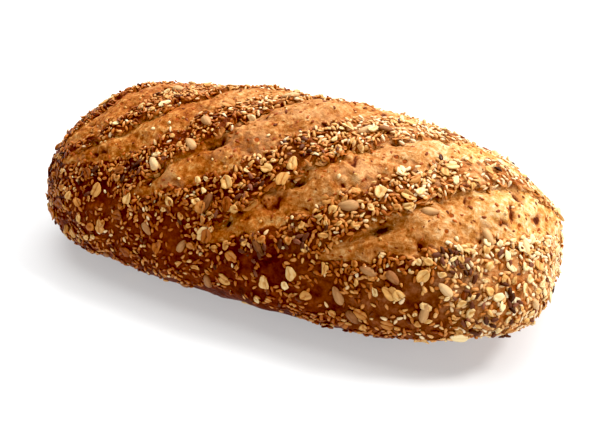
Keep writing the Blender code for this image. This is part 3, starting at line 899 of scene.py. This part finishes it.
def scatter(wanted, room, wish, draw, avoid=()):
    """Places drawn by area and wish, no two nearer than their room: place, normal, crust point."""
    chance = cell_area * wish[crust_quads[:, 0]]
    cells = draw.choice(len(cell_area), size=wanted * 3, p=chance / chance.sum())
    corners = crust_quads[cells]
    right_share, down_share = draw.uniform(0, 1, (2, len(cells), 1))
    weights = (
        (1 - right_share) * (1 - down_share),
        right_share * (1 - down_share),
        right_share * down_share,
        (1 - right_share) * down_share,
    )
    place = sum(weight * crust_point[corners[:, side]] for side, weight in enumerate(weights))
    normal = unit(sum(weight * crust_normal[corners[:, side]] for side, weight in enumerate(weights)))
    tree = KDTree(len(place))
    for number, spot in enumerate(place):
        tree.insert(spot, number)
    tree.balance()
    free = np.ones(len(place), bool)
    for spot, clear in avoid:
        free[[number for _, number, _ in tree.find_range(spot, clear)]] = False
    kept = []
    for number, spot in enumerate(place):
        if free[number]:
            kept.append(number)
            free[[other for _, other, _ in tree.find_range(spot, room)]] = False
            if len(kept) == wanted:
                break
    return place[kept], normal[kept], corners[kept, 0]


def lying(normal, draw, lean):
    """Axes of things that lie on the crust at seeded turns: length, width and upward."""
    up = unit(normal + draw.normal(0, 1, normal.shape) * np.reshape(lean, (-1, 1)))
    side = unit(np.cross(up, draw.normal(size=normal.shape)))
    return np.stack([side, np.cross(up, side), up], axis=1)


def skin_wish():
    """How thickly seeds lie: crowded by the slashes, in patches, and thinner down the sides.

    None lie under the bare strip above the base, more lie low on the right, and few where rubbed.
    """
    x = crust_point[:, 0]
    gap = -crust_masks["inside_mm"]
    crowd = 1 + CROWDING * np.exp(-((np.maximum(gap, 0) / CROWD_REACH) ** 2))
    patch = np.clip(0.85 + 0.8 * lumps(crust_point, 0.012, SEED + 40), 0.20, 1.5)
    down = 1 - 0.5 * soft_step((np.abs(crust_over) - 0.062) / 0.030)
    low, high, middle, reach = BASE_BARE
    base = low + (high - low) * np.exp(-(((x - middle) / reach) ** 2))
    base -= low * 0.3 * soft_step((x - 0.045) / 0.050)
    wish = crowd * patch * (down + 0.15 * soft_step((x - 0.045) / 0.050)) * (gap > -0.4)
    above_base = soft_step((crust_point[:, 2] - base) / 0.003)
    wish *= above_base * soft_step((crust_normal[:, 2] + 0.80) / 0.25)
    low_down = soft_step((0.024 - crust_point[:, 2]) / 0.012)
    wish *= 1 + 1.3 * low_down * soft_step((x - 0.015) / 0.040)
    for rubbed_x, rubbed_over, radius in RUBBED:
        far = ((x - rubbed_x) ** 2 + (crust_over - rubbed_over) ** 2) / radius**2
        wish *= 1 - RUBBED_SHARE * np.exp(-far)
    return wish


def seed_pose(place, normal, draw, crowd):
    """Height and turn of strewn seeds: in a crowd they climb on each other and tilt more."""
    pile = crowd * draw.uniform(0, 1, len(place)) ** 2
    raised = place + normal * (SESAME_REST + PILE_REST * pile)[:, None]
    return raised, lying(normal, draw, SESAME_LEAN + PILE_LEAN * pile)


avoid = [(spot, FLAKE_CLEAR) for spot in flake_places]
avoid += [(spot, KERNEL_CLEAR) for spot in kernel_places]
sesame_draw = np.random.default_rng(SEED + 32)
place, normal, corner = scatter(SESAME_COUNT, SESAME_ROOM, skin_wish(), sesame_draw, avoid)
crowd = np.exp(-((crust_masks["inside_mm"][corner] / PILE_REACH) ** 2))
place, axes = seed_pose(place, normal, sesame_draw, crowd)
# The crust's paleness, partly painted light, makes the seeds paler and more of them cream
pale = crust_masks["pale"][corner]
tone = sesame_draw.normal(0.50, 0.24, len(place)) - 0.46 * pale
golden = sesame_draw.uniform(size=len(place)) < 0.83 - 0.44 * pale
for name, title, kind, stops in (
    ("hulled_sesame", "Hulled sesame", ~golden, HULLED_RAMP),
    ("toasted_sesame", "Toasted sesame", golden, TOASTED_RAMP),
):
    grow = sesame_draw.uniform(0.82, 1.12, kind.sum())
    local, faces = kernel_shapes(grow, sesame_draw, SESAME_SIZE, SESAME_THICK, *SESAME_FORM)
    material = topping_material(title, stops, roughness=0.38, grain_size=0.0012, grain_strength=0.25)
    height_share = local[..., 2] / (SESAME_THICK * grow[:, None])
    # Painted shade: lighter on top, darker underneath
    seed_tone = tone[kind][:, None] + SEED_PAINTED_SHADE * (0.5 - height_share)
    strewn(name, local, faces, place[kind], axes[kind], seed_tone, material)

# Linseeds: whole flax seeds, flat, glossy and dark red-brown, with one sharper tip. They were mixed
# with the sesame, so a few lie in every patch of it.
LINSEED_COUNT, LINSEED_SIZE, LINSEED_THICK = 60, (0.0040, 0.0021), 0.0011
LINSEED_ROOM, LINSEED_FORM = 0.005, (0.3, 0.0, 5, 8)
LINSEED_RAMP = ((0.0, "#8a4018"), (0.5, "#64270c"), (1.0, "#401407"))


def strew(name, spaced, wish, draw, grown, shaped, toasted, lean, rest, material, avoid=()):
    """Bits of one kind, drawn in turn: places, sizes, shapes, tones and axes.

    Spaced is their count and room, and grown the range of their sizes. Toasted is the mean and
    spread of their tones, and how much less they are where the crust is pale, which is partly
    painted light.
    """
    place, normal, corner = scatter(*spaced, wish, draw, avoid)
    local, faces = shaped(draw.uniform(*grown, len(place)), draw)
    mean, spread, paler = toasted
    tone = draw.normal(mean, spread, len(place)) - paler * crust_masks["pale"][corner]
    axes = lying(normal, draw, lean)
    strewn(name, local, faces, place + normal * rest, axes, tone, material)


strew(
    "linseeds",
    (LINSEED_COUNT, LINSEED_ROOM),
    skin_wish(),
    np.random.default_rng(SEED + 33),
    grown=(0.85, 1.1),
    shaped=lambda grow, draw: kernel_shapes(grow, draw, LINSEED_SIZE, LINSEED_THICK, *LINSEED_FORM),
    toasted=(0.5, 0.25, 0),
    lean=0.2,
    rest=0.0007,
    material=topping_material(
        "Linseed", LINSEED_RAMP, roughness=0.28, grain_size=0.0012, grain_strength=0.3
    ),
    avoid=avoid,
)

# Malted grains: cracked, roasted kernels, dark purple-brown, in loose clusters by the ears and
# at the right end.
MALT_COUNT, MALT_ROOM, MALT_SIZE = 170, 0.0018, (0.0038, 0.0020, 0.0013)
MALT_RAMP = ((0.0, "#874e38"), (0.5, "#582a1a"), (1.0, "#33130b"))
# Clusters: place along the loaf, distance from the crest, radius
MALT_CLUSTERS = (
    (0.096, 0.052, 0.0055),
    (0.105, 0.060, 0.0035),
    (0.120, 0.049, 0.0040),
    (0.115, 0.064, 0.0045),
    (0.106, 0.071, 0.0040),
    (0.026, 0.033, 0.0045),
    (0.011, 0.053, 0.0050),
    (0.037, 0.069, 0.0050),
    (0.017, 0.078, 0.0050),
    (-0.052, 0.058, 0.0045),
    (0.002, 0.070, 0.0035),
)


def nugget_shapes(grow, draw, size, rings, sides):
    """Broken bits: a ball whose points lie at seeded distances, squashed to its three sizes."""
    count = len(grow)
    polar = np.linspace(0, math.pi, rings + 2)[1:-1][None, :, None]
    turn = np.arange(sides) / sides * 2 * math.pi
    far = draw.uniform(0.72, 1.25, (count, rings, sides)) * grow[:, None, None] / 2
    x = -np.cos(polar) * far * size[0]
    y = np.sin(polar) * np.cos(turn) * far * size[1]
    z = np.sin(polar) * np.sin(turn) * far * size[2]
    tip = np.stack([grow / 2 * size[0], grow * 0, grow * 0], axis=1)[:, None]
    quads, fans = closed_rings(rings, sides)
    body = np.stack([x, y, z], axis=-1).reshape(count, -1, 3)
    return np.concatenate([-tip, body, tip], axis=1), (quads, fans)


clusters = 0.02 + np.clip(lumps(crust_point, 0.016, SEED + 41) * 0.5 - 0.2, 0, 1)
for cluster_x, cluster_over, radius in MALT_CLUSTERS:
    far = ((crust_point[:, 0] - cluster_x) ** 2 + (crust_over - cluster_over) ** 2) / radius**2
    clusters += 4 * np.exp(-far)
malt_wish = clusters * (crust_masks["inside_mm"] < 0.4) * (crust_point[:, 2] > 2 * BASE_BARE[0])
strew(
    "malt_grains",
    (MALT_COUNT, MALT_ROOM),
    malt_wish,
    np.random.default_rng(SEED + 34),
    grown=(0.5, 1.15),
    shaped=lambda grow, draw: nugget_shapes(grow, draw, MALT_SIZE, rings=4, sides=7),
    toasted=(0.5, 0.25, 0),
    lean=0.25,
    rest=0.0012,
    material=topping_material(
        "Roasted malt grain", MALT_RAMP, roughness=0.5, grain_size=0.0008, grain_strength=0.4
    ),
)

# Bran: red-brown chips of the grain's husk that were kneaded into the dough. They show where the
# slashes opened it, half sunk in it.
BRAN_COUNT, BRAN_ROOM, BRAN_SIZE = 300, 0.0028, (0.0021, 0.0013, 0.0009)
BRAN_RAMP = ((0.0, "#b5581e"), (0.5, "#8f3c14"), (1.0, "#5c210a"))
in_dough = (crust_masks["inside_mm"] > 1).astype(float)
strew(
    "bran",
    (BRAN_COUNT, BRAN_ROOM),
    in_dough,
    np.random.default_rng(SEED + 35),
    grown=(0.5, 1.3),
    shaped=lambda grow, draw: nugget_shapes(grow, draw, BRAN_SIZE, rings=3, sides=6),
    toasted=(0.5, 0.3, 0),
    lean=0.12,
    rest=-0.0001,
    material=topping_material(
        "Wheat bran", BRAN_RAMP, roughness=0.5, grain_size=0.0006, grain_strength=0.4
    ),
)

# Oat crumbs: chips and dust of broken flakes, cream and pale gold. They fell between the seeds,
# and a few of them on the opened dough.
CRUMB_COUNT, CRUMB_ROOM, CRUMB_SIZE = 1500, 0.0016, (0.0019, 0.0014, 0.0009)
strew(
    "oat_crumbs",
    (CRUMB_COUNT, CRUMB_ROOM),
    skin_wish() + 0.25 * in_dough,
    np.random.default_rng(SEED + 36),
    grown=(0.35, 1.25),
    shaped=lambda grow, draw: nugget_shapes(grow, draw, CRUMB_SIZE, rings=2, sides=5),
    toasted=(0.4, 0.25, 0.2),
    lean=0.3,
    rest=0.0003,
    material=oat_material,
)

# Broken oats: thin halves and corners of rolled flakes, stuck on among the seeds before baking.
# They lie thickest on the right end and low down.
BROKEN_COUNT, BROKEN_SIZE, BROKEN_FORM = 440, (0.0046, 0.0034), (9, (0.6, 1.0))
BROKEN_SHARE, BROKEN_LEAN, BROKEN_REST = 0.8, 0.22, 0.0010
broken_draw = np.random.default_rng(SEED + 37)
right_end = soft_step((crust_point[:, 0] - 0.060) / 0.060)
lower = soft_step((np.abs(crust_over) - 0.050) / 0.030)
lowest = soft_step((0.026 - crust_point[:, 2]) / 0.012)
lowest *= soft_step((crust_point[:, 0] + 0.010) / 0.050)
broken_wish = skin_wish() * (0.25 + 1.6 * right_end + 0.5 * lower + 1.0 * lowest)
broken_wish *= soft_step((crust_normal[:, 2] + 0.30) / 0.20)
place, normal, corner = scatter(BROKEN_COUNT, 0.0034, broken_wish, broken_draw, avoid)
grow = broken_draw.uniform(0.6, 1.2, len(place))
local, shade, faces = flake_shapes(grow, BROKEN_SIZE, broken_draw, *BROKEN_FORM, BROKEN_SHARE)
# Broken oats are paler where the crust is pale, which is partly painted light
tone = broken_draw.normal(0.36, 0.16, len(place)) - 0.26 * crust_masks["pale"][corner]
# Painted shade in each flake's crease and cracks
tone = tone[:, None] + FLAKE_PAINTED_SHADE * shade
axes = lying(normal, broken_draw, BROKEN_LEAN)
strewn("broken_oats", local, faces, place + normal * BROKEN_REST, axes, tone, oat_material)

# Late oats and kernels: the last to be strewn, so that they lie on top of the seeds, most of them
# beside the ears. Each has its place along the loaf and distance from the crest in millimetres,
# its length and width, its turn from the loaf's length in degrees, and how toasted it is.
LATE_OATS = (
    (67, 29, 5.0, 4.4, 110, 0.45),
    (74, 31, 5.6, 4.0, 50, 0.35),
    (65, 42, 6.0, 4.8, 100, 0.10),
    (85, 16, 6.2, 4.2, 40, 0.00),
    (98, 7, 5.0, 3.8, -35, 0.20),
    (50, 11, 4.6, 4.2, 60, -0.05),
    (38, 14, 6.4, 3.2, -20, 0.00),
    (44, 52, 5.6, 4.2, 20, 0.40),
    (100, 45, 4.8, 4.2, 20, 0.15),
    (-39, 54, 5.0, 4.0, 0, 0.10),
    (15, 46, 6.0, 4.4, 0, 0.15),
    (23, 48, 6.6, 5.0, 85, 0.25),
    (25, 41, 6.8, 4.4, 110, 0.15),
    (2, 64, 6.4, 4.4, 105, 0.75),
    (12, 62, 8.0, 4.4, 45, 0.40),
    (-10, 68, 5.6, 5.2, 90, 0.45),
    (-4, 79, 7.0, 5.4, 85, 0.60),
    (88, 64, 6.2, 4.4, 55, 0.15),
    (81, 76, 7.0, 4.6, -35, 0.15),
    (122, 40, 6.0, 4.4, 95, 0.00),
)
LATE_KERNELS = (
    (84, 40, 7.0, 3.6, 20, 0.30),
    (76, 40, 6.0, 3.6, 25, 0.50),
    (54, 8, 7.0, 3.6, 10, 0.60),
    (-24, 29, 8.0, 4.2, -35, 0.35),
    (77, 70, 6.6, 3.8, -35, 0.55),
    (63, 94, 7.0, 4.2, -50, 0.60),
)
LATE_REST, LATE_RAISED, LATE_LOW = 0.0025, 0.0015, 0.0006
LATE_TONE, LATE_BROKEN, LATE_THICK = 0.14, 0.2, 0.0028


def late_pose(rows):
    """Noted places on the crust: spot, axes turned from the loaf's length, sizes and tones.

    Each lies level with the mean of the crust that it rests on, over the seeds or on bare dough.
    """
    x, over, long, wide, turn, tone = np.array(rows, float).T
    far = np.hypot(crust_point[:, 0] - x[:, None] / 1000, crust_over - over[:, None] / 1000)
    spot = np.argmin(far, axis=1)
    found = [crust_tree.find_range(crust_point[one], LATE_REST) for one in spot]
    under = [[number for _, number, _ in near] for near in found]
    up = unit(np.array([crust_normal[near].mean(axis=0) for near in under]))
    along = unit(np.array([1.0, 0, 0]) - up * up[:, :1])
    across = np.cross(up, along)
    turn = np.radians(turn)[:, None]
    turned = along * np.cos(turn) + across * np.sin(turn)
    axes = np.stack([turned, np.cross(up, turned), up], axis=1)
    raised = np.where(crust_masks["inside_mm"][spot] > 0.5, LATE_LOW, LATE_RAISED)
    sizes = long[:, None, None] / 1000, wide[:, None, None] / 1000
    return crust_point[spot] + up * raised[:, None], axes, sizes, tone + LATE_TONE


late_draw = np.random.default_rng(SEED + 42)
place, axes, sizes, tone = late_pose(LATE_OATS)
grow = np.ones(len(place))
local, shade, faces = flake_shapes(grow, sizes, late_draw, *FLAKE_FORM, LATE_BROKEN)
# Painted shade in each flake's crease and cracks
strewn("late_oats", local, faces, place, axes, tone[:, None] + FLAKE_PAINTED_SHADE * shade, oat_material)
place, axes, sizes, tone = late_pose(LATE_KERNELS)
grow = np.ones(len(place))
local, faces = kernel_shapes(grow, late_draw, sizes, LATE_THICK, *KERNEL_FORM)
# Painted shade: lighter on top, darker underneath
tone = tone[:, None] + KERNEL_PAINTED_SHADE * (0.5 - local[..., 2] / LATE_THICK)
strewn("late_kernels", local, faces, place, axes, tone, sunflower_material)

# Torn flaps: thin rags of the crust's own skin, stiff and toasted. They were left hanging over the
# slashes where the ears tore loose, each fast along one edge.
FLAP_COUNT, FLAP_SIZE = 110, (0.0056, 0.0017, 0.0004)
FLAP_RINGS, FLAP_STEPS = 7, 4
FLAP_TILT, FLAP_TILTS, FLAP_SHADE = 0.35, 0.25, 0.3
FLAP_RAMP = ((0.0, "#e0a05e"), (0.4, "#b8672a"), (0.75, "#843a10"), (1.0, "#4e1c06"))


def flap_shapes(grow, draw):
    """Leaves that narrow to both ends by a power of a circle, with their free edge curled up.

    The curl rises by the square of the way across. The shade rises from the fast edge to the free.
    """
    count, rings, steps = len(grow), FLAP_RINGS, FLAP_STEPS
    travel = np.cos(np.linspace(math.pi, 0, rings + 2)[1:-1])[None, :, None]
    across = np.concatenate([np.linspace(0, 1, steps), np.linspace(1, 0, steps)])
    side = np.concatenate([np.ones(steps), -np.ones(steps)])
    long = draw.uniform(0.5, 1.5, (count, 1, 1)) * grow[:, None, None]
    ragged_width = 1 + 0.35 * draw.uniform(-1, 1, (count, rings, 1))
    wide = FLAP_SIZE[1] * grow[:, None, None] * (1 - travel**2) ** 0.6 * ragged_width
    curl = draw.normal(0.0003, 0.0005, (count, 1, 1))
    curl = curl + 0.0002 * draw.normal(size=(count, rings, 1))
    x = travel * FLAP_SIZE[0] / 2 * long
    y = across * wide - 0.0004
    z = curl * across**2 + side * FLAP_SIZE[2] / 2 * (1 - 0.5 * across)
    body = np.stack(np.broadcast_arrays(x, y, z), axis=-1).reshape(count, -1, 3)
    tip = np.concatenate([FLAP_SIZE[0] / 2 * long, np.zeros((count, 1, 2))], axis=2)
    shade = np.broadcast_to(across, (count, rings, 2 * steps)).reshape(count, -1)
    shade = np.concatenate([np.zeros((count, 1)), shade, np.zeros((count, 1))], axis=1)
    quads, fans = closed_rings(rings, 2 * steps)
    return np.concatenate([-tip, body, tip], axis=1), shade, (quads, fans)


flap_draw = np.random.default_rng(SEED + 38)
flap_wish = crust_masks["rim"] ** 3 * (0.5 + 2 * soft_step((crust_point[:, 0] - 0.060) / 0.060))
place, normal, corner = scatter(FLAP_COUNT, 0.0030, flap_wish, flap_draw)
grow = flap_draw.uniform(0.6, 1.3, len(place))
local, shade, faces = flap_shapes(grow, flap_draw)
rise = flap_draw.normal(FLAP_TILT, FLAP_TILTS, (len(place), 1))
toward = crust_toward[corner]
out = unit(toward - normal * (toward * normal).sum(axis=1, keepdims=True))
free = out * np.cos(rise) + normal * np.sin(rise)
edge = np.cross(free, unit(np.cross(np.cross(free, normal), free)))
axes = np.stack([edge, free, unit(np.cross(edge, free))], axis=1)
# Flaps are paler where the crust is pale, which is partly painted light
tone = flap_draw.normal(0.55, 0.2, len(place)) - 0.25 * crust_masks["pale"][corner]
tone = tone[:, None] + FLAP_SHADE * (0.5 - shade)
flap_material = topping_material(
    "Torn crust", FLAP_RAMP, roughness=0.5, grain_size=0.0009, grain_strength=0.4
)
strewn("torn_flaps", local, faces, place, axes, tone, flap_material)

# Floor: a plain pale sweep of matt acrylic under the loaf, lit a little from behind. It only
# carries the loaf for the picture.
FLOOR_HALF = 6.0
floor = new_piece(
    "floor",
    np.array([[-1, -1, 0], [1, -1, 0], [1, 1, 0], [-1, 1, 0]]) * FLOOR_HALF,
    (np.array([[0, 1, 2, 3]]),),
)
floor_material, add = new_material("Pale backlit acrylic")
floor_shader = add(
    "BsdfPrincipled",
    {
        "Base Color": "#b2b2b2",
        "Emission Color": "#ffffff",
        "Emission Strength": 0.40,
        "Roughness": 0.8,
    },
)
add("OutputMaterial", (floor_shader,))
floor.data.materials.append(floor_material)

# Light: a key high on the right and behind, a soft light low on the right that reaches the near
# end, a broad soft light overhead, and a dim pale room.
for name, angle, energy, direction in (
    ("key", 14, 2.5, (0.46, 0.30, 0.65)),
    ("side", 40, 1.0, (0.90, -0.25, 0.32)),
    ("overhead", 70, 4.0, (-0.12, 0.45, 1.00)),
):
    lamp = bpy.data.lights.new(name, "SUN")
    lamp.angle = math.radians(angle)
    lamp.energy = energy
    lamp_object = bpy.data.objects.new(name, lamp)
    bpy.context.scene.collection.objects.link(lamp_object)
    lamp_object.matrix_world = Vector(direction).to_track_quat("Z", "Y").to_matrix().to_4x4()

world = bpy.data.worlds.new("pale room")
world.use_nodes = True
world.node_tree.nodes["Background"].inputs["Color"].default_value = (1, 1, 1, 1)
world.node_tree.nodes["Background"].inputs["Strength"].default_value = 0.28
bpy.context.scene.world = world

# The picture is developed with a firm black, as a catalogue picture is.
view = bpy.context.scene.view_settings
view.view_transform = "Standard"
view.use_curve_mapping = True
view.curve_mapping.black_level = (0.010, 0.010, 0.010)
view.curve_mapping.update()

# Camera: close by, 26 degrees round to the loaf's right and 27 degrees above it.
CAMERA_ROUND, CAMERA_ABOVE = math.radians(26.31), math.radians(26.95)
CAMERA_AWAY, CAMERA_AIM = 0.33483, Vector((0.0088, 0, 0.02675))
FOCAL_PIXELS, IMAGE_WIDTH = 667.94, 600
back = Vector(
    (
        math.sin(CAMERA_ROUND) * math.cos(CAMERA_ABOVE),
        -math.cos(CAMERA_ROUND) * math.cos(CAMERA_ABOVE),
        math.sin(CAMERA_ABOVE),
    )
)
right = Vector((math.cos(CAMERA_ROUND), math.sin(CAMERA_ROUND), 0))
up = back.cross(right)
camera_data = bpy.data.cameras.new("camera")
camera_data.sensor_width = 36
camera_data.lens = FOCAL_PIXELS * camera_data.sensor_width / IMAGE_WIDTH
camera_data.clip_start = 0.01
camera = bpy.data.objects.new("camera", camera_data)
bpy.context.scene.collection.objects.link(camera)
turned = Matrix((right, up, back)).transposed().to_4x4()
camera.matrix_world = Matrix.Translation(CAMERA_AIM + back * CAMERA_AWAY) @ turned
bpy.context.scene.camera = camera
